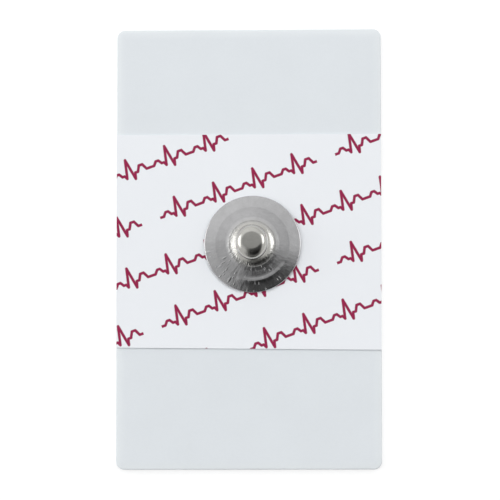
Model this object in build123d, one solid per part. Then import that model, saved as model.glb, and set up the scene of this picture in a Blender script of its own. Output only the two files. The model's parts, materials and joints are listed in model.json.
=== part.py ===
from build123d import *
import os
from math import radians, tan

# An ECG electrode as it lies before use, in millimetres: a foam sheet on its release film,
# a printed label band across the foam, a drawn metal stud on the label, and, in a well in
# the foam, a sensor eyelet that is clinched into the stud and the gel pad that covers it.
# The origin is at the middle of the film's underside, +Y runs along the sheet and
# +Z points out through the stud.

# Sheet: foam and film are cut together
SHEET_WIDTH = 33.0
SHEET_LENGTH = 55.0
CORNER_RADIUS = 1.0
LINER_THICKNESS = 0.10
FOAM_THICKNESS = 1.0

# Label band, as wide as the sheet; its middle lies this far along the sheet
LABEL_LENGTH = 26.8
LABEL_SHIFT = 0.86
LABEL_THICKNESS = 0.12

# Snap axis, from the middle of the sheet
SNAP_X = 0.48
SNAP_Y = 0.5

# Gel well and the gel in it
WELL_DIAMETER = 18.0
GEL_CLEARANCE = 0.2

# Sensor eyelet: a disc under the label with a post up into the stud
DISC_DIAMETER = 10.0
DISC_THICKNESS = 0.45
DISC_EDGE_RADIUS = 0.15
DISC_CLEARANCE = 0.1
POST_CLEARANCE = 0.03
LABEL_HOLE_CLEARANCE = 0.15

# Stud: a shell of one wall thickness, from its head down to its rim
SHELL_WALL = 0.20
STUD_HEIGHT = 4.1
HEAD_DIAMETER = 4.0
HEAD_HEIGHT = 1.5
SHOULDER_RADIUS = 1.0
UNDERCUT_DEPTH = 0.35
UNDERCUT_BEND = 0.30
FOOT_DIAMETER = 3.75
FOOT_BEND = 1.3

# Stud's flange: a low dome with a flatter fold part of the way in, and a rim turned down
# onto the label
RIM_DIAMETER = 12.1
RIM_HEIGHT = 0.30
RIM_BEND = 0.14
OUTER_WIDTH = 1.55
OUTER_RISE = 0.26
FOLD_WIDTH = 0.30
FOLD_RISE = 0.030
FOLD_BEND = 1.0
INNER_RISE = 0.28
INSIDE_BEND = 0.05

# Share of a straight leg that its two bends may use up
LEG_USE = 0.96

# Heights of the stack
foam_bottom = LINER_THICKNESS
foam_top = foam_bottom + FOAM_THICKNESS
label_top = foam_top + LABEL_THICKNESS
stud_top = label_top + STUD_HEIGHT

# Radii about the snap axis
head_radius = HEAD_DIAMETER / 2
neck_radius = head_radius - UNDERCUT_DEPTH
foot_radius = FOOT_DIAMETER / 2
rim_radius = RIM_DIAMETER / 2
fold_outer = rim_radius - OUTER_WIDTH
fold_inner = fold_outer - FOLD_WIDTH
post_radius = neck_radius - SHELL_WALL - POST_CLEARANCE

snap_axis = Pos(SNAP_X, SNAP_Y, 0)


def sheet_solid(length, thickness, bottom, shift=0.0, radius=0.0):
    """A flat sheet as wide as the electrode."""
    if radius > 0:
        outline = RectangleRounded(SHEET_WIDTH, length, radius)
    else:
        outline = Rectangle(SHEET_WIDTH, length)
    return Pos(0, shift, bottom) * extrude(outline, thickness)


def snap_cylinder(radius, bottom, top):
    """A cylinder on the snap axis, between two heights."""
    return snap_axis * Pos(0, 0, bottom) * extrude(Circle(radius), top - bottom)


def parallel_points(points, distance):
    """Corners of the line that runs beside this one, at a distance on its right-hand side."""
    legs = [(end - start).normalized() for start, end in zip(points, points[1:])]
    sides = [Vector(leg.Y, -leg.X) for leg in legs]
    moved = [points[0] + sides[0] * distance]
    for corner, before, after in zip(points[1:-1], sides, sides[1:]):
        moved.append(corner + (before + after) * (distance / (1 + before.dot(after))))
    moved.append(points[-1] + sides[-1] * distance)
    return moved


def fitted_radii(points, radii):
    """The bend radii, each limited by the two straight legs that it joins."""
    legs = [end - start for start, end in zip(points, points[1:])]
    turns = [before.get_angle(after) for before, after in zip(legs, legs[1:])]
    used = [radius * tan(radians(turn / 2)) for radius, turn in zip(radii, turns)]
    used = [0.0] + used + [0.0]
    share = []
    for leg, start, end in zip(legs, used, used[1:]):
        wanted = start + end
        share.append(min(1.0, LEG_USE * leg.length / wanted) if wanted else 1.0)
    return [radius * min(pair) for radius, pair in zip(radii, zip(share, share[1:]))]


def bent_line(points, radii):
    """A line through the points, with each corner bent to its radius."""
    return FilletPolyline(*points, radius=fitted_radii(points, radii))


def revolved(lines):
    """The solid that a closed section of lines sweeps about the snap axis."""
    section = make_face([edge for line in lines for edge in line.edges()])
    return snap_axis * revolve(Plane.XZ * section, Axis.Z)


# Corners of the stud's outer face, as (radius, height), from its top centre to its rim
head_bottom = stud_top - HEAD_HEIGHT
rim_top = label_top + RIM_HEIGHT
fold_bottom = rim_top + OUTER_RISE
fold_top = fold_bottom + FOLD_RISE
outer_points = [
    Vector(0, stud_top),
    Vector(head_radius, stud_top),
    Vector(head_radius, head_bottom),
    Vector(neck_radius, head_bottom - UNDERCUT_DEPTH),
    Vector(foot_radius, fold_top + INNER_RISE),
    Vector(fold_inner, fold_top),
    Vector(fold_outer, fold_bottom),
    Vector(rim_radius, rim_top),
    Vector(rim_radius, label_top),
]
outer_radii = [
    SHOULDER_RADIUS,
    INSIDE_BEND + SHELL_WALL,
    UNDERCUT_BEND,
    FOOT_BEND,
    FOLD_BEND,
    FOLD_BEND,
    RIM_BEND,
]
# Bends whose centre lies inside the shell; the others lie outside it
inside_centred = [True, True, False, False, False, True, True]


def inner_radii(depth, count):
    """Bend radii of the line that runs at a depth under the outer face."""
    radii = []
    for radius, inside in zip(outer_radii[:count], inside_centred):
        radii.append(max(radius - depth, 0.0) if inside else radius + depth)
    return radii


def snap_stud():
    """Head, waisted neck and flange in one drawn shell."""
    inner_points = parallel_points(outer_points, SHELL_WALL)
    outer = bent_line(outer_points, outer_radii)
    inner = bent_line(inner_points, inner_radii(SHELL_WALL, len(outer_radii)))
    rim_end = Line(outer_points[-1], inner_points[-1])
    axis_end = Line(inner_points[0], outer_points[0])
    return revolved([outer, rim_end, inner, axis_end])


def sensor_eyelet():
    """Disc under the label, and a post whose upset end fills the stud's head."""
    depth = SHELL_WALL + POST_CLEARANCE
    head_points = parallel_points(outer_points, depth)[:4]
    disc_radius = DISC_DIAMETER / 2
    disc_bottom = foam_top - DISC_THICKNESS
    foot_points = [
        Vector(post_radius, foam_top),
        Vector(disc_radius, foam_top),
        Vector(disc_radius, disc_bottom),
        Vector(0, disc_bottom),
    ]
    points = head_points + foot_points
    edge_radius = min(DISC_EDGE_RADIUS, DISC_THICKNESS / 2)
    radii = inner_radii(depth, 3) + [0.0, 0.0, edge_radius]
    return revolved([bent_line(points, radii), Line(points[-1], points[0])])


def printed_label():
    """Film band with a hole for the eyelet's post."""
    band = sheet_solid(LABEL_LENGTH, LABEL_THICKNESS, foam_top, LABEL_SHIFT)
    return band - snap_cylinder(post_radius + LABEL_HOLE_CLEARANCE, foam_top, label_top)


def foam_backing():
    """Foam sheet with the gel well through it."""
    foam = sheet_solid(SHEET_LENGTH, FOAM_THICKNESS, foam_bottom, radius=CORNER_RADIUS)
    return foam - snap_cylinder(WELL_DIAMETER / 2, foam_bottom, foam_top)


def gel_pad():
    """Gel that fills the well around and below the eyelet's disc."""
    gel = snap_cylinder(WELL_DIAMETER / 2 - GEL_CLEARANCE, foam_bottom, foam_top)
    recess_radius = DISC_DIAMETER / 2 + DISC_CLEARANCE
    return gel - snap_cylinder(recess_radius, foam_top - DISC_THICKNESS, foam_top)


def release_liner():
    """Film under the whole sheet."""
    return sheet_solid(SHEET_LENGTH, LINER_THICKNESS, 0, radius=CORNER_RADIUS)


os.makedirs("parts", exist_ok=True)
for piece in (release_liner, foam_backing, gel_pad, sensor_eyelet, printed_label, snap_stud):
    export_step(piece(), f"parts/{piece.__name__}.step")
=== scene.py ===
# %% [markdown]
# An ECG electrode lies flat under an overhead camera: a pale foam sheet, a white label band
# with crimson print, and a bright metal snap stud. The imported model gives the place and size
# of every piece, so the first step loads it and prints the size of each piece.

# %% Load the imported model
import json
from math import atan2, cos, degrees, pi, radians, sin, tan

import bmesh
import bpy
from mathutils import Euler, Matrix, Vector


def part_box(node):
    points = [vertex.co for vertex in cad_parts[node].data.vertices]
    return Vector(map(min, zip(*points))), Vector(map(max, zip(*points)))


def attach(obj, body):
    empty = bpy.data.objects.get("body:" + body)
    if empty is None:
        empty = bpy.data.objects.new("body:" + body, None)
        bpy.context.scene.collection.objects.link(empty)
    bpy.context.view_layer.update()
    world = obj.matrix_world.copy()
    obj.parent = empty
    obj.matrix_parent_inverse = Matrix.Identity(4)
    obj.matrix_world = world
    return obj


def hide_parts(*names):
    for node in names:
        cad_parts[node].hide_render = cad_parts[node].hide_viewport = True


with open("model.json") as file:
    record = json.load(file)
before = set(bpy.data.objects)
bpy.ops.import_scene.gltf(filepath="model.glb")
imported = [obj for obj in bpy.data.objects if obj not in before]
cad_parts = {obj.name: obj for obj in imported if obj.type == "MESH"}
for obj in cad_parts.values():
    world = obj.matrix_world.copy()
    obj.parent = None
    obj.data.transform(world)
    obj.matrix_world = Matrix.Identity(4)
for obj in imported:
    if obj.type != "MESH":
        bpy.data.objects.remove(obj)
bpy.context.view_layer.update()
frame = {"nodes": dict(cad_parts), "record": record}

MM = 0.001
for node in sorted(frame["nodes"]):
    low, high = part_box(node)
    print(node, "spans", [round(size / MM, 2) for size in high - low], "mm")

# %% [markdown]
# The photograph looks down on the sheet, but not quite straight: the foot and the right side
# are a hair wider than the head and the left side, so the camera stands a few degrees over
# towards them. An unturned camera looks along -Z with +Y up, so two small turns are enough.
# The lens follows from its distance and from how many pixels a millimetre covers.

# %% Camera
FRAME_PIXELS = 500
PIXELS_PER_MM = 8.03
SHEET_MIDDLE_PIXEL = (248.8, 248.3)
CAMERA_DISTANCE = 0.46
LEAN_RIGHT = radians(2.4)
LEAN_FOOT = radians(5.2)
SENSOR_WIDTH_MM = 36.0
CLIP_START = 0.01

sheet_low, sheet_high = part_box("foam_backing")
sheet_middle = (sheet_low + sheet_high) / 2
aim = Vector((sheet_middle.x, sheet_middle.y, sheet_high.z))
aim.x += (FRAME_PIXELS / 2 - SHEET_MIDDLE_PIXEL[0]) / PIXELS_PER_MM * MM
aim.y += (SHEET_MIDDLE_PIXEL[1] - FRAME_PIXELS / 2) / PIXELS_PER_MM * MM
camera_turn = Euler((LEAN_FOOT, LEAN_RIGHT, 0))
backwards = camera_turn.to_matrix() @ Vector((0, 0, 1))
bpy.ops.object.camera_add(location=aim + backwards * CAMERA_DISTANCE, rotation=camera_turn)
camera = bpy.context.active_object
camera.name = "overhead_camera"
view_width = FRAME_PIXELS / PIXELS_PER_MM * MM
camera.data.sensor_width = SENSOR_WIDTH_MM
camera.data.lens = SENSOR_WIDTH_MM * CAMERA_DISTANCE / view_width
camera.data.clip_start = CLIP_START
bpy.context.scene.camera = camera
bpy.context.scene.view_settings.view_transform = "Standard"
print("lens", round(camera.data.lens, 1), "mm, view", round(view_width / MM, 1), "mm wide")

# %% [markdown]
# Every material and the world are node trees. These helpers keep the cells short: one adds
# a node and fills its inputs with values or links, two do sums with numbers and with vectors,
# one scales a vector or a colour, and one changes smoothly from one value to another.

# %% Node helpers
def add_node(tree, kind, inputs=None, **settings):
    """A new node; its inputs are values, or other nodes' outputs to link."""
    node = tree.nodes.new(kind)
    for name, value in settings.items():
        setattr(node, name, value)
    for key, value in (inputs or {}).items():
        if isinstance(value, bpy.types.NodeSocket):
            tree.links.new(value, node.inputs[key])
        else:
            node.inputs[key].default_value = value
    return node


def sums(tree, operation, first, *others):
    """The output of a Math node, or of a chain of them for more than two values."""
    for other in others or (0.0,):
        node = add_node(tree, "ShaderNodeMath", {0: first, 1: other}, operation=operation)
        first = node.outputs[0]
    return first


def vectors(tree, operation, first, second=(0, 0, 0)):
    """The output of a Vector Math node: a number for a length or a dot product."""
    node = add_node(tree, "ShaderNodeVectorMath", {0: first, 1: second}, operation=operation)
    return node.outputs["Value" if operation in ("LENGTH", "DOT_PRODUCT") else "Vector"]


def scaled(tree, vector, factor):
    """A vector or a colour times a number."""
    inputs = {0: vector, "Scale": factor}
    return add_node(tree, "ShaderNodeVectorMath", inputs, operation="SCALE").outputs["Vector"]


def ramp(tree, value, low, high, start=0.0, end=1.0):
    """A smooth change from start to end as a value goes from low to high."""
    inputs = {"Value": value, "From Min": low, "From Max": high, "To Min": start, "To Max": end}
    node = add_node(tree, "ShaderNodeMapRange", inputs, interpolation_type="SMOOTHSTEP")
    return node.outputs["Result"]


# %% [markdown]
# Blender's shaders work in linear light, so a colour as a paint program gives it is first
# turned into that. An effect that is used more than once is a node group: a small tree with
# named sockets, which is then placed like any other node.

# %% Colour and group helpers
NUMBER = "NodeSocketFloat"
VECTOR = "NodeSocketVector"


def linear(red, green, blue):
    """A display colour from 0 to 255 as linear light, with full alpha."""
    shares = [value / 255 for value in (red, green, blue)]
    return [s / 12.92 if s <= 0.04045 else ((s + 0.055) / 1.055) ** 2.4 for s in shares] + [1.0]


def new_group(name, inputs, outputs):
    """An empty shader node group with named sockets, and its two end nodes."""
    group = bpy.data.node_groups.new(name, "ShaderNodeTree")
    for socket, kind in inputs:
        group.interface.new_socket(socket, in_out="INPUT", socket_type=kind)
    for socket, kind in outputs:
        group.interface.new_socket(socket, in_out="OUTPUT", socket_type=kind)
    print("group", name, "gives", [socket for socket, _ in outputs])
    return group, group.nodes.new("NodeGroupInput"), group.nodes.new("NodeGroupOutput")


def place_group(tree, group, inputs):
    """A node group, placed with its own values."""
    return add_node(tree, "ShaderNodeGroup", inputs, node_tree=group)


# %% [markdown]
# The light is a studio dome drawn in the world. Bright metal has no look of its own: it shows
# what stands around it, so the dome needs bright and dim things in it. Each is one soft round
# patch, made by one node group that compares a ray's direction with the patch's middle.

# %% Soft patch group
soft_patch, patch_in, patch_out = new_group(
    "soft_patch",
    [("Direction", VECTOR), ("Middle", VECTOR), ("Outer", NUMBER), ("Inner", NUMBER)],
    [("Mask", NUMBER)],
)
patch = patch_in.outputs
facing = vectors(soft_patch, "DOT_PRODUCT", patch["Direction"], patch["Middle"])
inside_patch = ramp(soft_patch, facing, patch["Outer"], patch["Inner"])
soft_patch.links.new(inside_patch, patch_out.inputs["Mask"])

# %% [markdown]
# A softbox stands at the left and another at the right, and there is a pale wall beyond the
# head of the sheet. The camera hangs overhead and dims a round there, beside a gap between
# the lights. Towards the foot of the sheet the room is dark: a screen close by, the corner
# behind it and the skirting below. That is what the stud's head and flange show on that side.

# %% Things in the studio
DOME_LEVEL = 0.73
# Patches that add light: compass angle from +X, angle from overhead, inner and outer radius
# in degrees, and the light that they add
LIT_PATCHES = {
    "left_softbox": (175, 57, 13, 29, 2.0),
    "right_softbox": (16, 47, 9, 25, 2.0),
    "head_wall": (112, 53, 10, 52, 0.25),
}
# Patches that dim what lies behind them, with the share that they take away
DIM_PATCHES = {
    "camera": (99, 5, 7, 16.5, 0.38),
    "left_gap": (205, 15, 7, 18, 0.22),
    "dark_screen": (294, 29, 19, 30.5, 0.90),
    "dark_corner": (280, 56, 18, 42, 0.80),
    "dark_skirting": (275, 90, 8, 24, 0.55),
}


def towards(compass, from_overhead):
    """The direction at a compass angle and an angle from straight overhead, in degrees."""
    flat = sin(radians(from_overhead))
    x, y = flat * cos(radians(compass)), flat * sin(radians(compass))
    return Vector((x, y, cos(radians(from_overhead))))


print("studio of", len(LIT_PATCHES), "lit and", len(DIM_PATCHES), "dim patches")

# %% [markdown]
# In the world's tree the lit patches are added to an even level one by one, and then each dim
# patch takes its share away. A ray that comes straight from the camera doesn't see the dome
# but plain white, as the background of the photograph is.

# %% Studio dome
WHITE = (1, 1, 1, 1)

world = bpy.data.worlds.new("studio_dome")
bpy.context.scene.world = world
world.use_nodes = True
tree = world.node_tree
tree.nodes.clear()
ray = add_node(tree, "ShaderNodeTexCoord").outputs["Generated"]


def patch_mask(compass, from_overhead, inner, outer):
    """How far a ray lies inside one soft patch of the dome."""
    inputs = {
        "Direction": ray,
        "Middle": towards(compass, from_overhead),
        "Outer": cos(radians(outer)),
        "Inner": cos(radians(inner)),
    }
    return place_group(tree, soft_patch, inputs).outputs["Mask"]


level = DOME_LEVEL
for *patch_place, light in LIT_PATCHES.values():
    level = sums(tree, "ADD", sums(tree, "MULTIPLY", patch_mask(*patch_place), light), level)
for *patch_place, share in DIM_PATCHES.values():
    taken = sums(tree, "MULTIPLY", patch_mask(*patch_place), share)
    level = sums(tree, "MULTIPLY", level, sums(tree, "SUBTRACT", 1.0, taken))
dome = add_node(tree, "ShaderNodeBackground", {"Color": WHITE, "Strength": level})
plain = add_node(tree, "ShaderNodeBackground", {"Color": WHITE, "Strength": 1.0})
seen = add_node(tree, "ShaderNodeLightPath").outputs["Is Camera Ray"]
mixed = add_node(
    tree, "ShaderNodeMixShader", {0: seen, 1: dome.outputs[0], 2: plain.outputs[0]}
)
add_node(tree, "ShaderNodeOutputWorld", {"Surface": mixed.outputs[0]})
print("world", world.name, "has", len(tree.nodes), "nodes")

# %% [markdown]
# The dome alone leaves the sheet a little grey. A fill lamp at the head of the sheet makes up
# for that, and lets the light fall off towards the foot. In a studio it would hang where
# the metal doesn't show it. Here the lamp's ray visibility does the same.

# %% Fill lamp
LAMP_SIZE = 0.25
LAMP_DISTANCE = 0.32
LAMP_POWER = 0.155
LAMP_COMPASS = 100
LAMP_FROM_OVERHEAD = 40

lamp_side = towards(LAMP_COMPASS, LAMP_FROM_OVERHEAD)
bpy.ops.object.light_add(type="AREA", location=sheet_middle + lamp_side * LAMP_DISTANCE)
lamp = bpy.context.active_object
lamp.name = "fill_lamp"
lamp.rotation_euler = lamp_side.to_track_quat("Z", "Y").to_euler()
lamp.data.shape = "DISK"
lamp.data.size = LAMP_SIZE
lamp.data.energy = LAMP_POWER
lamp.visible_camera = False
lamp.visible_glossy = False
print("fill lamp of", LAMP_POWER, "W,", LAMP_DISTANCE, "m away")

# %% [markdown]
# The electrode lies on a white table. The floor is a plain plane, a hair below the film so
# that the two never fight for the same depth.

# %% Floor
FLOOR_SIZE = 4.0
FLOOR_DROP = 0.05 * MM

bpy.ops.object.select_all(action="DESELECT")
bpy.ops.mesh.primitive_plane_add(size=FLOOR_SIZE, location=(0, 0, -FLOOR_DROP))
floor = bpy.context.active_object
floor.name = "table"
print("floor", FLOOR_SIZE, "m across")

# %% [markdown]
# A white table in a bright room is photographed just past white. So most of its light is an
# even glow for the camera, and for rays that come by way of the metal or through the film.
# The soft shadow stays, but it is paler and keeps close to the sheet.

# %% Table finish
TABLE_COLOUR = linear(250, 250, 250)
TABLE_ROUGHNESS = 0.9
TABLE_GLOW = 1.16
GLOW_SHARE = 0.62


def new_material(name, constants):
    """A material, its node tree, and its Principled shader with its constant values set."""
    material = bpy.data.materials.new(name)
    material.use_nodes = True
    shader = material.node_tree.nodes["Principled BSDF"]
    for socket, value in constants.items():
        shader.inputs[socket].default_value = value
    return material, material.node_tree, shader


table_white, tree, shader = new_material(
    "table_white",
    {"Base Color": TABLE_COLOUR, "Roughness": TABLE_ROUGHNESS, "Specular IOR Level": 0.0},
)
glow = add_node(tree, "ShaderNodeEmission", {"Color": WHITE, "Strength": TABLE_GLOW})
path = add_node(tree, "ShaderNodeLightPath").outputs
seen = [path[kind] for kind in ("Is Camera Ray", "Is Glossy Ray", "Is Transmission Ray")]
share = sums(tree, "MULTIPLY", sums(tree, "MAXIMUM", *seen), GLOW_SHARE)
mixed = add_node(
    tree, "ShaderNodeMixShader", {0: share, 1: shader.outputs[0], 2: glow.outputs[0]}
)
tree.links.new(mixed.outputs[0], tree.nodes["Material Output"].inputs["Surface"])
floor.data.materials.append(table_white)
print("table glows by", TABLE_GLOW, "for", GLOW_SHARE, "of its light")

# %% [markdown]
# Modelling goes as it would by hand: add a primitive, go into edit mode, pick vertices, edges
# or faces, and run an operator on them. Everything is deselected before each new piece. By
# hand one picks with the mouse. A script picks by place, with a test on each item's middle.

# %% Begin and pick
SELECT_MODES = {"verts": "VERT", "edges": "EDGE"}


def begin(name):
    """Name the primitive that was just added, and go into its edit mode with all selected."""
    piece = bpy.context.active_object
    piece.name = name
    piece.data.name = name
    bpy.ops.object.mode_set(mode="EDIT")
    bpy.ops.mesh.select_all(action="SELECT")
    return piece


def pick(piece, kind, test):
    """Select the verts or edges whose middle passes a test, and count them."""
    bpy.ops.mesh.select_mode(type=SELECT_MODES[kind])
    bpy.ops.mesh.select_all(action="DESELECT")
    mesh = bmesh.from_edit_mesh(piece.data)
    chosen = 0
    for item in getattr(mesh, kind):
        if kind == "verts":
            middle = item.co
        else:
            middle = (item.verts[0].co + item.verts[1].co) / 2
        if test(middle):
            item.select_set(True)
            chosen += 1
    mesh.select_flush_mode()
    bmesh.update_edit_mesh(piece.data)
    return chosen


# %% [markdown]
# Some shapes are quicker with a modifier, which is applied at once so that the mesh is final.
# A round hole is a cylinder taken away from the piece. At the end each mesh loses its double
# vertices, gets its faces turned outwards, and is shaded smooth but for its sharp edges.

# %% Modifiers, holes and finished meshes
BORE_SIDES = 96
MERGE_DISTANCE = 0.001 * MM
SMOOTH_ANGLE = 40


def apply_modifier(piece, kind, **settings):
    """Add a modifier to the piece and apply it at once."""
    bpy.context.view_layer.objects.active = piece
    modifier = piece.modifiers.new(kind.lower(), kind)
    for name, value in settings.items():
        setattr(modifier, name, value)
    bpy.ops.object.modifier_apply(modifier=modifier.name)


def bore(piece, middle, radius, low, high):
    """Cut a round hole down through a piece."""
    bpy.ops.object.select_all(action="DESELECT")
    bpy.ops.mesh.primitive_cylinder_add(
        vertices=BORE_SIDES,
        radius=radius,
        depth=high - low,
        location=(middle.x, middle.y, (low + high) / 2),
    )
    cutter = bpy.context.active_object
    apply_modifier(piece, "BOOLEAN", operation="DIFFERENCE", object=cutter, solver="EXACT")
    bpy.data.objects.remove(cutter)


def finish_mesh(piece, smooth_angle=SMOOTH_ANGLE):
    """Merge doubles, point the faces outwards and shade smooth below an angle."""
    bpy.context.view_layer.objects.active = piece
    bpy.ops.object.mode_set(mode="EDIT")
    bpy.ops.mesh.select_all(action="SELECT")
    bpy.ops.mesh.remove_doubles(threshold=MERGE_DISTANCE)
    bpy.ops.mesh.normals_make_consistent(inside=False)
    bpy.ops.object.mode_set(mode="OBJECT")
    bpy.ops.object.select_all(action="DESELECT")
    piece.select_set(True)
    bpy.ops.object.shade_smooth_by_angle(angle=radians(smooth_angle))
    print(piece.name, "has", len(piece.data.polygons), "faces")


# %% [markdown]
# The foam and the film below it are cut from one strip with the same rounded die. A plane is
# scaled to the sheet, its corners are rounded with a vertex bevel, and it is extruded to its
# thickness: an extruded plane is already a closed slab.

# %% Rounded slab
CORNER_RADIUS = 1.0 * MM
CORNER_STEPS = 10


def rounded_slab(name, low, high):
    """A flat slab between two corners, with rounded corners seen from above."""
    bpy.ops.object.select_all(action="DESELECT")
    bpy.ops.mesh.primitive_plane_add(size=1)
    piece = begin(name)
    size = high - low
    middle = (low + high) / 2
    bpy.ops.transform.resize(value=(size.x, size.y, 1), center_override=(0, 0, 0))
    bpy.ops.transform.translate(value=(middle.x, middle.y, low.z))
    bpy.ops.mesh.bevel(
        affect="VERTICES", offset_type="OFFSET", offset=CORNER_RADIUS, segments=CORNER_STEPS
    )
    bpy.ops.mesh.select_all(action="SELECT")
    bpy.ops.mesh.extrude_region_move(TRANSFORM_OT_translate={"value": (0, 0, size.z)})
    return piece


# %% [markdown]
# Foam is soft: the die presses its upper edge round before it cuts through. The slab's upper
# edge gets a bevel for that. Then the slab is cut into a grid by bisecting it again and again,
# because a face can only take a gentle wave if it has vertices to move.

# %% Foam slab
EDGE_ROUND = 0.14 * MM
EDGE_STEPS = 4
STRIP = 1.1 * MM


def cut_in_strips(low, high, spacing):
    """Cut the whole mesh in edit mode into a grid."""
    for axis in (0, 1):
        count = round((high[axis] - low[axis]) / spacing)
        normal = Vector((0, 0, 0))
        normal[axis] = 1
        for step in range(1, count):
            place = Vector((0, 0, 0))
            place[axis] = low[axis] + (high[axis] - low[axis]) * step / count
            bpy.ops.mesh.select_all(action="SELECT")
            bpy.ops.mesh.bisect(plane_co=place, plane_no=normal)


foam = rounded_slab("foam_sheet", sheet_low, sheet_high)
rim = pick(foam, "edges", lambda p: p.z > sheet_high.z - MERGE_DISTANCE)
bpy.ops.mesh.bevel(affect="EDGES", offset=EDGE_ROUND, segments=EDGE_STEPS)
cut_in_strips(sheet_low, sheet_high, STRIP)
bpy.ops.object.mode_set(mode="OBJECT")
print("rounded", rim, "rim edges")

# %% [markdown]
# The skin of foam is never quite level. A cloud texture sinks the upper skin by a few
# hundredths of a millimetre. It only ever sinks, so it stays under the label. The round well
# for the gel is bored last, a little wider than the gel.

# %% Foam skin and well
SKIN_WAVE = 7.0 * MM
SKIN_SINK = 0.05 * MM
GEL_CLEARANCE = 0.2 * MM

gel_low, gel_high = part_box("gel_pad")
snap_low, snap_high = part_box("snap_stud")
snap_axis = (snap_low + snap_high) / 2
gel_radius = (gel_high.x - gel_low.x) / 2

skin_bottom = sheet_high.z - EDGE_ROUND / 2
skin = foam.vertex_groups.new(name="skin")
skin.add([v.index for v in foam.data.vertices if v.co.z > skin_bottom], 1.0, "ADD")
clouds = bpy.data.textures.new("skin_clouds", "CLOUDS")
clouds.noise_scale = SKIN_WAVE
apply_modifier(
    foam,
    "DISPLACE",
    texture=clouds,
    texture_coords="LOCAL",
    direction="Z",
    mid_level=1.0,
    strength=SKIN_SINK,
    vertex_group=skin.name,
)
bore(foam, snap_axis, gel_radius + GEL_CLEARANCE, sheet_low.z - MM, sheet_high.z + MM)
finish_mesh(foam)

# %% [markdown]
# Under the foam lies the release film, a clear sheet that is peeled away before use. It is
# the same slab again, as thin as a film is. It stops a hair below the foam: where two faces
# lie in exactly the same place, a ray can't tell which comes first, and rings appear.

# %% Release liner
HAIR = 0.01 * MM

liner_low, liner_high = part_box("release_liner")
liner = rounded_slab("liner_sheet", liner_low, liner_high - Vector((0, 0, HAIR)))
bpy.ops.object.mode_set(mode="OBJECT")
finish_mesh(liner)

# %% [markdown]
# The label is a thin film across the sheet. On the real one the edge towards the sheet's foot
# is not quite square, and stands a little proud of the foam, where it throws a soft shadow.
# So the label starts as a grid. Its foot edge is raised and turned with proportional editing,
# which draws the rows beside it along, and Solidify gives it the film's thickness.

# %% Printed label
LABEL_COLUMNS = 48
LABEL_ROWS = 40
FOOT_LIFT = 0.02 * MM
FOOT_REACH = 3.5 * MM
FOOT_TURN = radians(0.6)
HOLE_RADIUS = 1.57 * MM

label_low, label_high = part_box("printed_label")
label_size = label_high - label_low
label_middle = (label_low + label_high) / 2


def drawn_along(reach, falloff="SMOOTH"):
    """Settings that let a move draw along the vertices within its reach."""
    return {
        "use_proportional_edit": True,
        "proportional_edit_falloff": falloff,
        "proportional_size": reach,
    }


bpy.ops.object.select_all(action="DESELECT")
bpy.ops.mesh.primitive_grid_add(
    x_subdivisions=LABEL_COLUMNS, y_subdivisions=LABEL_ROWS, size=1
)
label = begin("label_band")
bpy.ops.transform.resize(value=(label_size.x, label_size.y, 1), center_override=(0, 0, 0))
bpy.ops.transform.translate(value=(label_middle.x, label_middle.y, label_low.z))
foot_row = pick(label, "verts", lambda p: p.y < label_low.y + MERGE_DISTANCE)
bpy.ops.transform.translate(value=(0, 0, FOOT_LIFT), **drawn_along(FOOT_REACH, "SHARP"))
bpy.ops.transform.rotate(
    value=FOOT_TURN,
    orient_axis="Z",
    center_override=(label_middle.x, label_low.y, label_low.z),
    **drawn_along(FOOT_REACH),
)
bpy.ops.object.mode_set(mode="OBJECT")
apply_modifier(label, "SOLIDIFY", thickness=label_size.z, offset=1.0)
bore(label, snap_axis, HOLE_RADIUS, label_low.z - MM, label_high.z + MM)
finish_mesh(label)
print("foot row of", foot_row, "vertices lifted")

# %% [markdown]
# The stud is drawn from one disc of metal, so its whole form is a profile turned about the
# snap's axis. The profile is drawn as straight legs, by extruding one vertex from corner to
# corner. A vertex bevel rounds each corner that has a bend, and Spin turns the line round the
# axis. The hidden round pieces are turned on the same lathe, in fewer steps.

# %% Lathe helper
TURN_STEPS = 192


def lathe(name, axis, outline, steps=TURN_STEPS):
    """A turned surface; a corner is its radius and height, and its bend's radius and steps."""
    corners = [Vector((axis.x + radius, axis.y, height)) for radius, height, *_ in outline]
    bpy.ops.object.select_all(action="DESELECT")
    bpy.ops.mesh.primitive_plane_add(size=1)
    piece = begin(name)
    bpy.ops.mesh.merge(type="CENTER")
    bpy.ops.transform.translate(value=corners[0])
    for start, end in zip(corners, corners[1:]):
        bpy.ops.mesh.extrude_region_move(TRANSFORM_OT_translate={"value": end - start})
    for index, (_, _, *bend) in enumerate(outline):
        if bend:
            radius, bend_steps = bend
            before, corner, after = corners[index - 1 : index + 2]
            reach = radius * tan((corner - before).angle(after - corner) / 2)
            pick(piece, "verts", lambda p: (p - corner).length < MERGE_DISTANCE)
            bpy.ops.mesh.bevel(affect="VERTICES", offset=reach, segments=bend_steps)
    bpy.ops.mesh.select_all(action="SELECT")
    bpy.ops.mesh.spin(steps=steps, angle=2 * pi, center=(axis.x, axis.y, 0), axis=(0, 0, 1))
    bpy.ops.object.mode_set(mode="OBJECT")
    return piece


# %% [markdown]
# The stud's head has the standard size that the clips of ECG leads fit, and the packed
# model's mount gives it. Under the head the wall is drawn in to a neck, which the clip closes
# on, and from there it sweeps out into the flange. A bend is its radius and its steps, and
# a corner without one stays sharp.

# %% Stud head and neck
WALL = 0.20 * MM
HEAD_HEIGHT = 1.5 * MM
UNDERCUT = 0.35 * MM
FOOT_RADIUS = 1.875 * MM
SHOULDER_BEND = (1.0 * MM, 16)
HEAD_BEND = (0.25 * MM, 6)
UNDERCUT_BEND = (0.30 * MM, 6)
FOOT_BEND = (1.2 * MM, 20)

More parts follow.
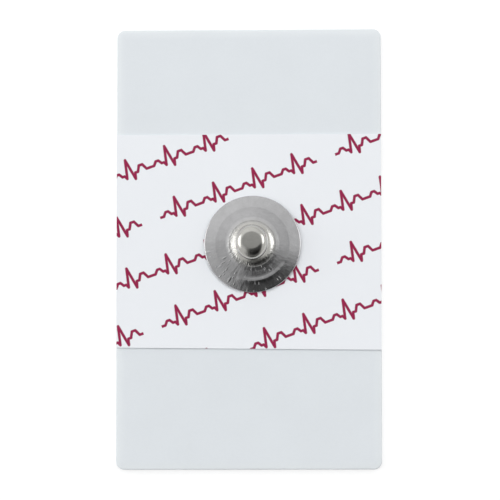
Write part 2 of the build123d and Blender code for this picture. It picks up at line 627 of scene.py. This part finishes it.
snap_mount = next(m for m in frame["record"]["mounts"] if m["name"] == "snap_head")
head_radius = snap_mount["dims"]["r_mm"] * MM
neck_radius = head_radius - UNDERCUT
stud_top = snap_high.z
head_bottom = stud_top - HEAD_HEIGHT
print("head", round(2 * head_radius / MM, 2), "mm, neck", round(2 * neck_radius / MM, 2), "mm")

# %% [markdown]
# The flange rises from its turned-down rim in low cones: an outer one, a flatter fold, an
# inner one up to a soft step, and a shallow crease round the foot. Its slopes differ by a few
# degrees, and smooth shading would blur them along the long legs. Plain corners in line with
# a leg hold its slope, and so keep the tones of the reflections apart.

# %% Stud flange
RIM_HEIGHT = 0.30 * MM
OUTER_WIDTH = 1.43 * MM
OUTER_RISE = 0.24 * MM
FOLD_WIDTH = 0.30 * MM
FOLD_RISE = 0.034 * MM
INNER_RISE = 0.12 * MM
STEP_RADIUS = 3.35 * MM
STEP_RISE = 0.072 * MM
CREASE_RADIUS = 2.92 * MM
CREASE_RISE = 0.025 * MM
RIM_BEND = (0.14 * MM, 10)
FOLD_BEND = (1.0 * MM, 5)
STEP_BEND = (1.5 * MM, 4)
CREASE_BEND = (0.35 * MM, 4)
# Plain corners as shares of the inner and the outer leg
INNER_SUPPORTS = (0.1, 0.3, 0.6, 0.85, 0.95)
OUTER_SUPPORTS = (0.08, 0.2, 0.35, 0.6, 0.85)

rim_radius = (snap_high.x - snap_low.x) / 2
fold_outer = rim_radius - OUTER_WIDTH
fold_inner = fold_outer - FOLD_WIDTH
rim_top = snap_low.z + RIM_HEIGHT
fold_bottom = rim_top + OUTER_RISE
fold_top = fold_bottom + FOLD_RISE
step_top = fold_top + INNER_RISE
crease_top = step_top + STEP_RISE
foot_top = crease_top + CREASE_RISE


def between(start, end, shares):
    """Plain corners on the straight leg between two corners of an outline."""
    radius_change, height_change = end[0] - start[0], end[1] - start[1]
    return [
        (start[0] + radius_change * share, start[1] + height_change * share)
        for share in shares
    ]


inner_leg = between((STEP_RADIUS, step_top), (fold_inner, fold_top), INNER_SUPPORTS)
outer_leg = between((fold_outer, fold_bottom), (rim_radius, rim_top), OUTER_SUPPORTS)
print("flange", round(2 * rim_radius / MM, 2), "mm across")

# %% [markdown]
# Now the profile can be turned, from the middle of the head down to the rim's lower edge. It
# gets its thickness later, so for now the stud is one surface.

# %% Turn the stud
STUD_SMOOTH_ANGLE = 50

stud = lathe(
    "stud_shell",
    snap_axis,
    [
        (0, stud_top),
        (head_radius, stud_top, *SHOULDER_BEND),
        (head_radius, head_bottom, *HEAD_BEND),
        (neck_radius, head_bottom - UNDERCUT, *UNDERCUT_BEND),
        (FOOT_RADIUS, foot_top, *FOOT_BEND),
        (CREASE_RADIUS, crease_top, *CREASE_BEND),
        (STEP_RADIUS, step_top, *STEP_BEND),
        *inner_leg,
        (fold_inner, fold_top, *FOLD_BEND),
        (fold_outer, fold_bottom, *FOLD_BEND),
        *outer_leg,
        (rim_radius, rim_top, *RIM_BEND),
        (rim_radius, snap_low.z),
    ],
)
finish_mesh(stud, STUD_SMOOTH_ANGLE)

# %% [markdown]
# No stamped head is quite true. This one is a little longer than wide, but its flat top is
# wider than long and lies towards the head of the sheet, so that the shoulder at the foot is
# rounder. The head and then its flat are picked and moved, with proportional editing to draw
# the metal beside them along.

# %% Stud head out of true
HEAD_STRETCH = (1.02, 1.09, 1.0)
HEAD_REACH = 0.8 * MM
FLAT_STRETCH = (1.05, 0.88, 1.0)
FLAT_SHIFT = Vector((0.02, 0.16, 0)) * MM
FLAT_REACH = 1.2 * MM

bpy.context.view_layer.objects.active = stud
bpy.ops.object.mode_set(mode="EDIT")
top_middle = (snap_axis.x, snap_axis.y, stud_top)
head_count = pick(stud, "verts", lambda p: p.z > head_bottom)
bpy.ops.transform.resize(
    value=HEAD_STRETCH, center_override=top_middle, **drawn_along(HEAD_REACH)
)
flat_count = pick(stud, "verts", lambda p: p.z > stud_top - MERGE_DISTANCE)
bpy.ops.transform.resize(
    value=FLAT_STRETCH, center_override=top_middle, **drawn_along(FLAT_REACH)
)
bpy.ops.transform.translate(value=FLAT_SHIFT, **drawn_along(FLAT_REACH))
bpy.ops.object.mode_set(mode="OBJECT")
print("stretched", head_count, "vertices of the head, with", flat_count, "of its flat")

# %% [markdown]
# The fold in the flange stands up a little at one side. Lifting ever shorter pieces of its
# edge makes it highest in the middle of that side. Then Solidify gives the surface the wall
# of the metal, on the inside, so that the outer form stays as it was drawn.

# %% Stud fold and wall
FOLD_LIFT = 0.02 * MM
FOLD_REACH = 0.45 * MM
FOLD_MIDDLE = 286
FOLD_SPREADS = (38, 28, 18)


def on_fold(place, spread):
    """Whether a place is on the fold's outer edge, within an angle of its lifted middle."""
    from_axis = (place - snap_axis).xy
    compass = degrees(atan2(from_axis.y, from_axis.x)) % 360
    on_edge = abs(from_axis.length - fold_outer) < FOLD_WIDTH / 3 and place.z > rim_top
    return on_edge and abs(compass - FOLD_MIDDLE) < spread


bpy.ops.object.mode_set(mode="EDIT")
for spread in FOLD_SPREADS:
    fold_count = pick(stud, "verts", lambda p: on_fold(p, spread))
    bpy.ops.transform.translate(value=(0, 0, FOLD_LIFT), **drawn_along(FOLD_REACH))
    print("lifted", fold_count, "vertices of the fold")
bpy.ops.object.mode_set(mode="OBJECT")
apply_modifier(stud, "SOLIDIFY", thickness=WALL, offset=-1.0, use_even_offset=True)
bpy.ops.object.shade_smooth_by_angle(angle=radians(STUD_SMOOTH_ANGLE))
print("stud shell has", len(stud.data.polygons), "faces")

# %% [markdown]
# The sensor eyelet is hidden: a disc below the label, with a post that comes up through the
# label's hole and is upset inside the stud's head, which holds the two together. The post
# follows the inside of the stud's wall at a small clearance. Where the wall turns in below
# the head, the offset corner moves by the tangent of half the turn.

# %% Sensor eyelet
HIDDEN_STEPS = 96
POST_CLEARANCE = 0.03 * MM
DISC_THICKNESS = 0.45 * MM
UNDERCUT_TURN = radians(45)
POST_BEND = (1.1 * MM, 8)
POST_NECK_BEND = (0.2 * MM, 4)
DISC_BEND = (0.15 * MM, 5)

eyelet_low, eyelet_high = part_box("sensor_eyelet")
disc_radius = (eyelet_high.x - eyelet_low.x) / 2
disc_top = eyelet_low.z + DISC_THICKNESS
post_head = head_radius - WALL - POST_CLEARANCE
post_neck = neck_radius - WALL - POST_CLEARANCE
miter = tan(UNDERCUT_TURN / 2) * (WALL + POST_CLEARANCE)

eyelet = lathe(
    "eyelet_sensor",
    snap_axis,
    [
        (0, eyelet_high.z),
        (post_head, eyelet_high.z, *POST_BEND),
        (post_head, head_bottom + miter),
        (post_neck, head_bottom - UNDERCUT + miter, *POST_NECK_BEND),
        (post_neck, disc_top),
        (disc_radius, disc_top),
        (disc_radius, eyelet_low.z, *DISC_BEND),
        (0, eyelet_low.z),
    ],
    steps=HIDDEN_STEPS,
)
finish_mesh(eyelet)

# %% [markdown]
# The gel pad fills the foam's well, and shows only through the clear film. It has a recess
# for the eyelet's disc, and soft edges: gel that sets in a mould draws back from its corners
# in a meniscus.

# %% Gel pad
DISC_CLEARANCE = 0.1 * MM
RECESS_BEND = (0.08 * MM, 3)
MENISCUS = (0.18 * MM, 5)

recess_radius = disc_radius + DISC_CLEARANCE
gel_top = gel_high.z - HAIR
recess_floor = eyelet_low.z - HAIR
gel = lathe(
    "gel_disc",
    snap_axis,
    [
        (0, recess_floor),
        (recess_radius, recess_floor),
        (recess_radius, gel_top, *RECESS_BEND),
        (gel_radius, gel_top, *MENISCUS),
        (gel_radius, gel_low.z, *MENISCUS),
        (0, gel_low.z),
    ],
    steps=HIDDEN_STEPS,
)
finish_mesh(gel)

# %% [markdown]
# Three effects are shared by several finishes, so each is a node group. The first is mottle:
# a soft uneven tone around 1, as plastic, foam and ink have. A finish multiplies its colour
# by it.

# %% Mottle group
mottle, mottle_in, mottle_out = new_group(
    "mottle", [("Position", VECTOR), ("Size", NUMBER), ("Strength", NUMBER)], [("Tone", NUMBER)]
)
mottle_scale = sums(mottle, "DIVIDE", 1.0, mottle_in.outputs["Size"])
mottle_noise = add_node(
    mottle,
    "ShaderNodeTexNoise",
    {"Vector": mottle_in.outputs["Position"], "Scale": mottle_scale, "Detail": 3.0},
)
swing = sums(mottle, "SUBTRACT", mottle_noise.outputs["Fac"], 0.5)
swing = sums(mottle, "MULTIPLY", swing, mottle_in.outputs["Strength"])
mottle.links.new(sums(mottle, "ADD", swing, 1.0), mottle_out.inputs["Tone"])


def mottled(tree, place, size, strength):
    """A soft uneven tone around 1, with blotches of a size in the place's units."""
    inputs = {"Position": place, "Size": size, "Strength": strength}
    return place_group(tree, mottle, inputs).outputs["Tone"]


# %% [markdown]
# The second is grain: a fine height for a Bump node, which tilts the surface without moving
# it. It stands for a skin, a film's faint waves or the ripples of pressed metal, by its size.

# %% Grain group
grain, grain_in, grain_out = new_group(
    "grain", [("Position", VECTOR), ("Size", NUMBER)], [("Height", NUMBER)]
)
grain_scale = sums(grain, "DIVIDE", 1.0, grain_in.outputs["Size"])
grain_noise = add_node(
    grain,
    "ShaderNodeTexNoise",
    {
        "Vector": grain_in.outputs["Position"],
        "Scale": grain_scale,
        "Detail": 4.0,
        "Roughness": 0.6,
    },
)
grain.links.new(grain_noise.outputs["Fac"], grain_out.inputs["Height"])


def grained(tree, place, size):
    """A fine height from 0 to 1, with lumps of a size in the place's units."""
    return place_group(tree, grain, {"Position": place, "Size": size}).outputs["Height"]


# %% [markdown]
# The third is turned marks, for round pieces. Metal that is drawn from a disc is gathered
# round the axis, which leaves radial streaks, and the tool leaves rings. For the streaks the
# noise is read on a fan, which is wide around the axis and short along the radius. For the
# rings it is read by radius and height alone.

# %% Turned marks group
turned, turned_in, turned_out = new_group(
    "turned_marks",
    [("Position", VECTOR), ("Around", NUMBER), ("Ring Size", NUMBER), ("Dent Length", NUMBER)],
    [("Streaks", NUMBER), ("Rings", NUMBER), ("Dents", NUMBER)],
)


def separated(tree, vector):
    """The X, Y and Z of a vector."""
    return add_node(tree, "ShaderNodeSeparateXYZ", {0: vector}).outputs


def combined(tree, x=0.0, y=0.0, z=0.0):
    """A vector of three numbers."""
    return add_node(tree, "ShaderNodeCombineXYZ", {"X": x, "Y": y, "Z": z}).outputs[0]


split = separated(turned, turned_in.outputs["Position"])
flat = combined(turned, split["X"], split["Y"])
radius = vectors(turned, "LENGTH", flat)
fan = scaled(turned, vectors(turned, "NORMALIZE", flat), turned_in.outputs["Around"])
fan_place = vectors(turned, "ADD", fan, combined(turned, z=radius))
streak_noise = add_node(
    turned, "ShaderNodeTexNoise", {"Vector": fan_place, "Scale": 1.0, "Detail": 4.0}
)
ring_place = combined(turned, radius, split["Z"])
ring_scale = sums(turned, "DIVIDE", 1.0, turned_in.outputs["Ring Size"])
ring_noise = add_node(
    turned, "ShaderNodeTexNoise", {"Vector": ring_place, "Scale": ring_scale, "Detail": 2.0}
)
turned.links.new(streak_noise.outputs["Fac"], turned_out.inputs["Streaks"])
turned.links.new(ring_noise.outputs["Fac"], turned_out.inputs["Rings"])

# %% [markdown]
# The same group gives small dents, as a worn press leaves them. Voronoi cells on the fan are
# the places for them. Only some cells are chosen, by one channel of the cell's random colour,
# and each chosen one has a soft round dent at its middle.

# %% Dents of the turned marks
DENT_SCALE = 0.8
DENT_EDGES = (0.45, 0.05)
DENT_SHARE = 0.25

dent_radius = sums(turned, "DIVIDE", radius, turned_in.outputs["Dent Length"])
dent_place = vectors(turned, "ADD", fan, combined(turned, z=dent_radius))
dent_cells = add_node(
    turned, "ShaderNodeTexVoronoi", {"Vector": dent_place, "Scale": DENT_SCALE}
)
dent = ramp(turned, dent_cells.outputs["Distance"], *DENT_EDGES)
cell_colour = add_node(turned, "ShaderNodeSeparateColor", {0: dent_cells.outputs["Color"]})
chosen = sums(turned, "GREATER_THAN", cell_colour.outputs[0], 1.0 - DENT_SHARE)
turned.links.new(sums(turned, "MULTIPLY", dent, chosen), turned_out.inputs["Dents"])


def turned_marks(tree, place, around, ring_size, dent_length):
    """Streaks, rings and dents around the place's Z axis."""
    inputs = {
        "Position": place,
        "Around": around,
        "Ring Size": ring_size,
        "Dent Length": dent_length,
    }
    return place_group(tree, turned, inputs).outputs


print("about", DENT_SHARE, "of the cells have a dent")

# %% [markdown]
# All finishes read Object coordinates, which sit still on the piece. They are in metres, so
# a Mapping node first moves the pattern's zero to a point of the piece and counts in
# millimetres: then every size in a finish is a real one.

# %% Finish helpers
def position_mm(tree, zero, turn=0.0):
    """Object coordinates in millimetres, from a zero point, turned about Z."""
    place = add_node(tree, "ShaderNodeTexCoord").outputs["Object"]
    moved = vectors(tree, "SUBTRACT", place, zero)
    mapping = add_node(tree, "ShaderNodeMapping", {"Vector": moved})
    mapping.inputs["Rotation"].default_value = (0, 0, turn)
    mapping.inputs["Scale"].default_value = (1 / MM, 1 / MM, 1 / MM)
    return mapping.outputs["Vector"]


def upwards(tree):
    """How far the surface faces up: 1 on top, 0 on a wall and -1 below."""
    return separated(tree, add_node(tree, "ShaderNodeTexCoord").outputs["Normal"])["Z"]


def blend_colour(tree, share, first, second):
    """Two colours mixed by a share."""
    inputs = {0: share, 6: first, 7: second}
    return add_node(tree, "ShaderNodeMix", inputs, data_type="RGBA").outputs[2]


def bump(tree, shader, height, depth, strength):
    """Let a height move the shader's normal, by a depth in metres."""
    node = add_node(
        tree, "ShaderNodeBump", {"Height": height, "Distance": depth, "Strength": strength}
    )
    tree.links.new(node.outputs["Normal"], shader.inputs["Normal"])


# %% [markdown]
# The foam is closed-cell polyethylene, pale grey with a touch of blue. Its skin is a little
# uneven in tone, broadly and finely. Near the sides the colour is painted paler: painted edge
# light, the brightness that the sheet's edges show in the studio light. The band is measured
# inwards from the nearest side, and a mottle lets its inner edge wander.

# %% Foam colour
FOAM_COLOUR = linear(221, 226, 230)
# The paler colour of the painted edge light, in a band along the sides
EDGE_LIGHT_COLOUR = linear(225, 230, 233)
EDGE_LIGHT_MM = (0.1, 1.3)
# Mottles are a size in millimetres and a strength
EDGE_LIGHT_WANDER = (5.0, 0.9)
FOAM_BROAD = (6.0, 0.05)
FOAM_FINE = (0.3, 0.03)

foam_finish, tree, shader = new_material("foam_finish", {"Specular IOR Level": 0.3})
place = position_mm(tree, sheet_middle)
split = separated(tree, place)
half = (sheet_high - sheet_low) / (2 * MM)
from_side = sums(tree, "SUBTRACT", half.x, sums(tree, "ABSOLUTE", split["X"]))
from_end = sums(tree, "SUBTRACT", half.y, sums(tree, "ABSOLUTE", split["Y"]))
inside = sums(tree, "MINIMUM", from_side, from_end)
wandering = sums(tree, "MULTIPLY", inside, mottled(tree, place, *EDGE_LIGHT_WANDER))
# Painted edge light: the colour turns paler towards the nearest side
painted_edge_light = ramp(tree, wandering, *EDGE_LIGHT_MM, 1.0, 0.0)
broad, fine = mottled(tree, place, *FOAM_BROAD), mottled(tree, place, *FOAM_FINE)
pale = blend_colour(tree, painted_edge_light, FOAM_COLOUR, EDGE_LIGHT_COLOUR)
tree.links.new(
    scaled(tree, pale, sums(tree, "MULTIPLY", broad, fine)), shader.inputs["Base Color"]
)
print("foam margin is", EDGE_LIGHT_MM[1], "mm wide")

# %% [markdown]
# On the cut wall the foam's cells are open. The bump there comes from a Voronoi pattern, held
# back on the skin by the normal, and the wall is rougher too. The skin has only a faint grain.

# %% Foam cells
CELL_MM = 0.16
SKIN_GRAIN_MM = 0.25
SKIN_GRAIN_SHARE = 0.3
WALL_FACING = (0.35, 0.85)
FOAM_ROUGHNESS = (0.55, 0.8)
# Bumps are a depth and a strength
FOAM_BUMP = (0.03 * MM, 0.6)

cut_wall = ramp(tree, sums(tree, "ABSOLUTE", upwards(tree)), *WALL_FACING, 1.0, 0.0)
cells = add_node(tree, "ShaderNodeTexVoronoi", {"Vector": place, "Scale": 1 / CELL_MM})
cell_height = sums(tree, "MULTIPLY", cells.outputs["Distance"], cut_wall)
skin_height = sums(tree, "MULTIPLY", grained(tree, place, SKIN_GRAIN_MM), SKIN_GRAIN_SHARE)
bump(tree, shader, sums(tree, "ADD", cell_height, skin_height), *FOAM_BUMP)
rough = ramp(tree, cut_wall, 0.0, 1.0, *FOAM_ROUGHNESS)
tree.links.new(rough, shader.inputs["Roughness"])
foam.data.materials.append(foam_finish)
print("foam finish with cells of", CELL_MM, "mm")

# %% [markdown]
# The label carries plain heartbeat traces in crimson, in rows that rise to the right. Ink on
# film has no thickness to speak of, so the print is all in the finish. One stroke is all the
# points that lie near a straight line, so one group measures the distance from a point to
# a line segment: it finds the foot of the point on the line, held between the two ends.

# %% Stroke distance group
stroke, stroke_in, stroke_out = new_group(
    "stroke_distance",
    [("Point", VECTOR), ("Start", VECTOR), ("End", VECTOR)],
    [("Distance", NUMBER)],
)
ends = stroke_in.outputs
along = vectors(stroke, "SUBTRACT", ends["End"], ends["Start"])
offset = vectors(stroke, "SUBTRACT", ends["Point"], ends["Start"])
share = sums(
    stroke,
    "DIVIDE",
    vectors(stroke, "DOT_PRODUCT", offset, along),
    vectors(stroke, "DOT_PRODUCT", along, along),
)
held = add_node(stroke, "ShaderNodeClamp", {"Value": share}).outputs[0]
gap = vectors(stroke, "SUBTRACT", offset, scaled(stroke, along, held))
stroke.links.new(vectors(stroke, "LENGTH", gap), stroke_out.inputs["Distance"])

# %% [markdown]
# A beat is a chain of strokes: a low wave, a sharp spike and a wider wave. The pattern is
# turned to the slant of the rows. Modulo then repeats one beat along its row, and rounding
# repeats one row over the label, each shifted against the next.

# %% Rows of beats
ROW_ANGLE = radians(19.8)
ROW_PITCH_MM = 6.43
ROW_BASE_MM = 0.1
ROW_STAGGER_MM = 9.4
TRACE_REPEAT_MM = 23.2
BEAT_MM = 5.2
# One beat, in millimetres along the row and up from its base line
LOW_WAVE = [(0.0, 0.0), (0.5, 0.0), (0.85, 0.45), (1.2, 0.45), (1.5, 0.0)]
SPIKE = [(1.8, 0.0), (2.0, -0.4), (2.5, 1.9), (3.0, -0.75), (3.2, 0.0)]
WIDE_WAVE = [(3.55, 0.0), (3.9, 0.7), (4.35, 0.7), (4.7, 0.0), (5.2, 0.0)]
BEAT_CORNERS = LOW_WAVE + SPIKE + WIDE_WAVE

label_finish, tree, shader = new_material("label_finish", {"Specular IOR Level": 0.3})
place = position_mm(tree, label_middle, -ROW_ANGLE)
split = separated(tree, place)
across = sums(tree, "SUBTRACT", split["Y"], ROW_BASE_MM)
row = sums(tree, "ROUND", sums(tree, "DIVIDE", across, ROW_PITCH_MM))
up = sums(tree, "SUBTRACT", across, sums(tree, "MULTIPLY", row, ROW_PITCH_MM))
shifted = sums(tree, "ADD", split["X"], sums(tree, "MULTIPLY", row, ROW_STAGGER_MM))
along = sums(tree, "FLOORED_MODULO", shifted, TRACE_REPEAT_MM)
pen = combined(tree, sums(tree, "FLOORED_MODULO", along, BEAT_MM), up)
distances = []
for start, end in zip(BEAT_CORNERS, BEAT_CORNERS[1:]):
    line = place_group(tree, stroke, {"Point": pen, "Start": (*start, 0), "End": (*end, 0)})
    distances.append(line.outputs["Distance"])
nearest = sums(tree, "MINIMUM", *distances)
print("a beat of", len(distances), "strokes, in rows", ROW_PITCH_MM, "mm apart")

# %% [markdown]
# Ink is where the nearest stroke is closer than half the stroke's width, with a soft and
# slightly ragged edge. A trace ends after a few beats, and the normal keeps the print to the
# upper face. The ink has a stronger mottle than the film, as a print on film has.

# %% Label finish
LABEL_COLOUR = linear(235, 238, 242)[:3]
INK_COLOUR = linear(146, 24, 70)[:3]
BEATS = 4
STROKE_MM = 0.35
INK_EDGE_MM = 0.05
TOP_FACING = 0.5
INK_RAGGED = (0.35, 0.25)
FILM_MOTTLE = (7.0, 0.03)
INK_MOTTLE = (0.5, 0.35)
LABEL_ROUGHNESS = (0.34, 0.42)
LABEL_GRAIN_MM = 0.6
LABEL_BUMP = (0.01 * MM, 0.4)

half_stroke = STROKE_MM / 2
ragged = sums(tree, "MULTIPLY", nearest, mottled(tree, place, *INK_RAGGED))
in_stroke = ramp(tree, ragged, half_stroke - INK_EDGE_MM, half_stroke + INK_EDGE_MM, 1.0, 0.0)
in_trace = sums(tree, "LESS_THAN", along, BEATS * BEAT_MM)
on_top = sums(tree, "GREATER_THAN", upwards(tree), TOP_FACING)
ink = sums(tree, "MULTIPLY", in_stroke, in_trace, on_top)
printed = blend_colour(
    tree,
    ink,
    scaled(tree, LABEL_COLOUR, mottled(tree, place, *FILM_MOTTLE)),
    scaled(tree, INK_COLOUR, mottled(tree, place, *INK_MOTTLE)),
)
tree.links.new(printed, shader.inputs["Base Color"])
tree.links.new(ramp(tree, ink, 0.0, 1.0, *LABEL_ROUGHNESS), shader.inputs["Roughness"])
bump(tree, shader, grained(tree, place, LABEL_GRAIN_MM), *LABEL_BUMP)
label.data.materials.append(label_finish)
print("print of", BEATS, "beats to a trace, strokes", STROKE_MM, "mm wide")

# %% [markdown]
# The stud is bright nickel. Its base colour is what the metal reflects, so it stays near
# grey, a touch warmer on the head, and the look comes from the dome. The roughness follows
# the streaks, so that the polish is uneven in the same places.

# %% Stud colour
HEAD_COLOUR = linear(193, 192, 187)
FLANGE_COLOUR = linear(191, 191, 192)
FLANGE_FROM_MM = (2.2, 3.4)
METAL_CLOUDING = (1.0, 0.2)
NOISE_RANGE = (0.3, 0.7)
METAL_ROUGHNESS = (0.12, 0.22)
# Turned marks are a number of streaks, a ring's size and a dent's length in millimetres
COARSE_MARKS = (14.0, 0.09, 0.9)
FINE_MARKS = (30.0, 0.09, 0.5)

stud_finish, tree, shader = new_material("stud_finish", {"Metallic": 1.0})
place = position_mm(tree, snap_axis)
marks = turned_marks(tree, place, *COARSE_MARKS)
rough = ramp(tree, marks["Streaks"], *NOISE_RANGE, *METAL_ROUGHNESS)
tree.links.new(rough, shader.inputs["Roughness"])
from_axis = vectors(tree, "LENGTH", vectors(tree, "MULTIPLY", place, (1, 1, 0)))
on_flange = ramp(tree, from_axis, *FLANGE_FROM_MM)
metal = blend_colour(tree, on_flange, HEAD_COLOUR, FLANGE_COLOUR)
clouded = scaled(tree, metal, mottled(tree, place, *METAL_CLOUDING))
tree.links.new(clouded, shader.inputs["Base Color"])
print("stud colour ready")

# %% [markdown]
# Streaks, rings and waves tilt the metal by a little all over, which breaks up the
# reflections as on the real one. One side of the flange took more of the press, so streaks
# are deeper and dents appear towards it. Round the foot the metal is rippled, most at the
# left, where its bright ring is broken. All heights are added up and go into one bump.

# %% Stud marks
DENTED_SIDE = towards(250, 90)
RIPPLED_SIDE = towards(180, 90)
# Where marks begin and are full, in millimetres towards their side or from the axis
DENTS_FROM_MM = (1.2, 3.2)
STREAKS_FROM_MM = (0.0, 3.5)
RIPPLES_FROM_MM = (0.8, 2.4)
FOOT_BEGINS_MM = (1.9, 2.2)
FOOT_ENDS_MM = (2.6, 3.4)
STREAK_SHARES = (0.3, 1.0)
WAVE_MM = 0.7
RIPPLE_MM = 0.28
STREAK_HEIGHT = 2.0
RING_HEIGHT = 0.25
DENT_HEIGHT = 2.2
WAVE_HEIGHT = 1.2
RIPPLE_HEIGHTS = (4.0, 10.0)
STUD_BUMP = (0.012 * MM, 0.6)

fine_marks = turned_marks(tree, place, *FINE_MARKS)
all_dents = sums(tree, "ADD", marks["Dents"], fine_marks["Dents"])
pressed = vectors(tree, "DOT_PRODUCT", place, DENTED_SIDE)
dented = ramp(tree, pressed, *DENTS_FROM_MM)
streaked = ramp(tree, pressed, *STREAKS_FROM_MM, *STREAK_SHARES)
leftward = vectors(tree, "DOT_PRODUCT", place, RIPPLED_SIDE)
rippled = ramp(tree, leftward, *RIPPLES_FROM_MM, *RIPPLE_HEIGHTS)
beyond_head = ramp(tree, from_axis, *FOOT_BEGINS_MM)
before_flange = ramp(tree, from_axis, *FOOT_ENDS_MM, 1.0, 0.0)
ripple = grained(tree, place, RIPPLE_MM)
heights = [
    sums(tree, "MULTIPLY", marks["Streaks"], on_flange, streaked, STREAK_HEIGHT),
    sums(tree, "MULTIPLY", marks["Rings"], RING_HEIGHT),
    sums(tree, "MULTIPLY", all_dents, dented, DENT_HEIGHT),
    sums(tree, "MULTIPLY", grained(tree, place, WAVE_MM), WAVE_HEIGHT),
    sums(tree, "MULTIPLY", ripple, beyond_head, before_flange, rippled),
]
bump(tree, shader, sums(tree, "ADD", *heights), *STUD_BUMP)
stud.data.materials.append(stud_finish)
print("stud finish of", len(heights), "heights ready")

# %% [markdown]
# The hidden pieces get true finishes too. The eyelet is a plastic moulding with a dull silver
# coat, so it is part metal, part plastic, with fine rings from its mould.

# %% Eyelet finish
EYELET_COLOUR = linear(146, 144, 138)[:3]
EYELET_MARKS = (6.0, 0.2, 1.0)
EYELET_SPECKLE = (0.15, 0.25)
EYELET_ROUGHNESS = (0.4, 0.6)
EYELET_BUMP = (0.01 * MM, 0.4)

eyelet_finish, tree, shader = new_material("eyelet_finish", {"Metallic": 0.6})
place = position_mm(tree, snap_axis)
rings = turned_marks(tree, place, *EYELET_MARKS)["Rings"]
silver = scaled(tree, EYELET_COLOUR, mottled(tree, place, *EYELET_SPECKLE))
tree.links.new(silver, shader.inputs["Base Color"])
rough = ramp(tree, rings, *NOISE_RANGE, *EYELET_ROUGHNESS)
tree.links.new(rough, shader.inputs["Roughness"])
bump(tree, shader, rings, *EYELET_BUMP)
eyelet.data.materials.append(eyelet_finish)
print("eyelet finish ready")

# %% [markdown]
# The gel is wet and clear, and the release film is clear with a faint haze, so that the gel
# and the eyelet can be made out through it from below. Both are the same finish with other
# values: a pale colour with a soft haze, a low roughness, and an alpha that lets most of the
# light through.

# %% Gel and film finishes
GEL_LOOK = {
    "constants": {"Roughness": 0.08, "Alpha": 0.3},
    "colour": linear(226, 236, 230)[:3],
    "haze": (2.5, 0.08),
    "grain_mm": 1.5,
    "waves": (0.04 * MM, 0.5),
}
LINER_LOOK = {
    "constants": {"Roughness": 0.18, "Alpha": 0.2},
    "colour": linear(232, 237, 240)[:3],
    "haze": (4.0, 0.06),
    "grain_mm": 1.0,
    "waves": (0.02 * MM, 0.4),
}


def clear_finish(piece, name, zero, constants, colour, haze, grain_mm, waves):
    """A clear finish with a hazy colour and soft waves, for one piece."""
    material, tree, shader = new_material(name, constants)
    place = position_mm(tree, zero)
    hazy = scaled(tree, colour, mottled(tree, place, *haze))
    tree.links.new(hazy, shader.inputs["Base Color"])
    bump(tree, shader, grained(tree, place, grain_mm), *waves)
    piece.data.materials.append(material)
    print(name, "lets", 1 - constants["Alpha"], "of the light through")


clear_finish(gel, "gel_finish", snap_axis, **GEL_LOOK)
clear_finish(liner, "liner_finish", sheet_middle, **LINER_LOOK)

# %% [markdown]
# Each new piece stands for one node of the imported model, which is hidden, and moves with
# its one body. Each row gives the piece, its node and the node's slot.

# %% Join the pieces to the frame
PIECES = [
    (liner, "release_liner", "liner_film"),
    (foam, "foam_backing", "foam"),
    (gel, "gel_pad", "gel"),
    (eyelet, "sensor_eyelet", "sensor_coat"),
    (label, "printed_label", "label_film"),
    (stud, "snap_stud", "stud_metal"),
]
for piece, node, slot in PIECES:
    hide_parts(node)
    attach(piece, "root")
print(len(PIECES), "pieces stand for", len(frame["nodes"]), "nodes")
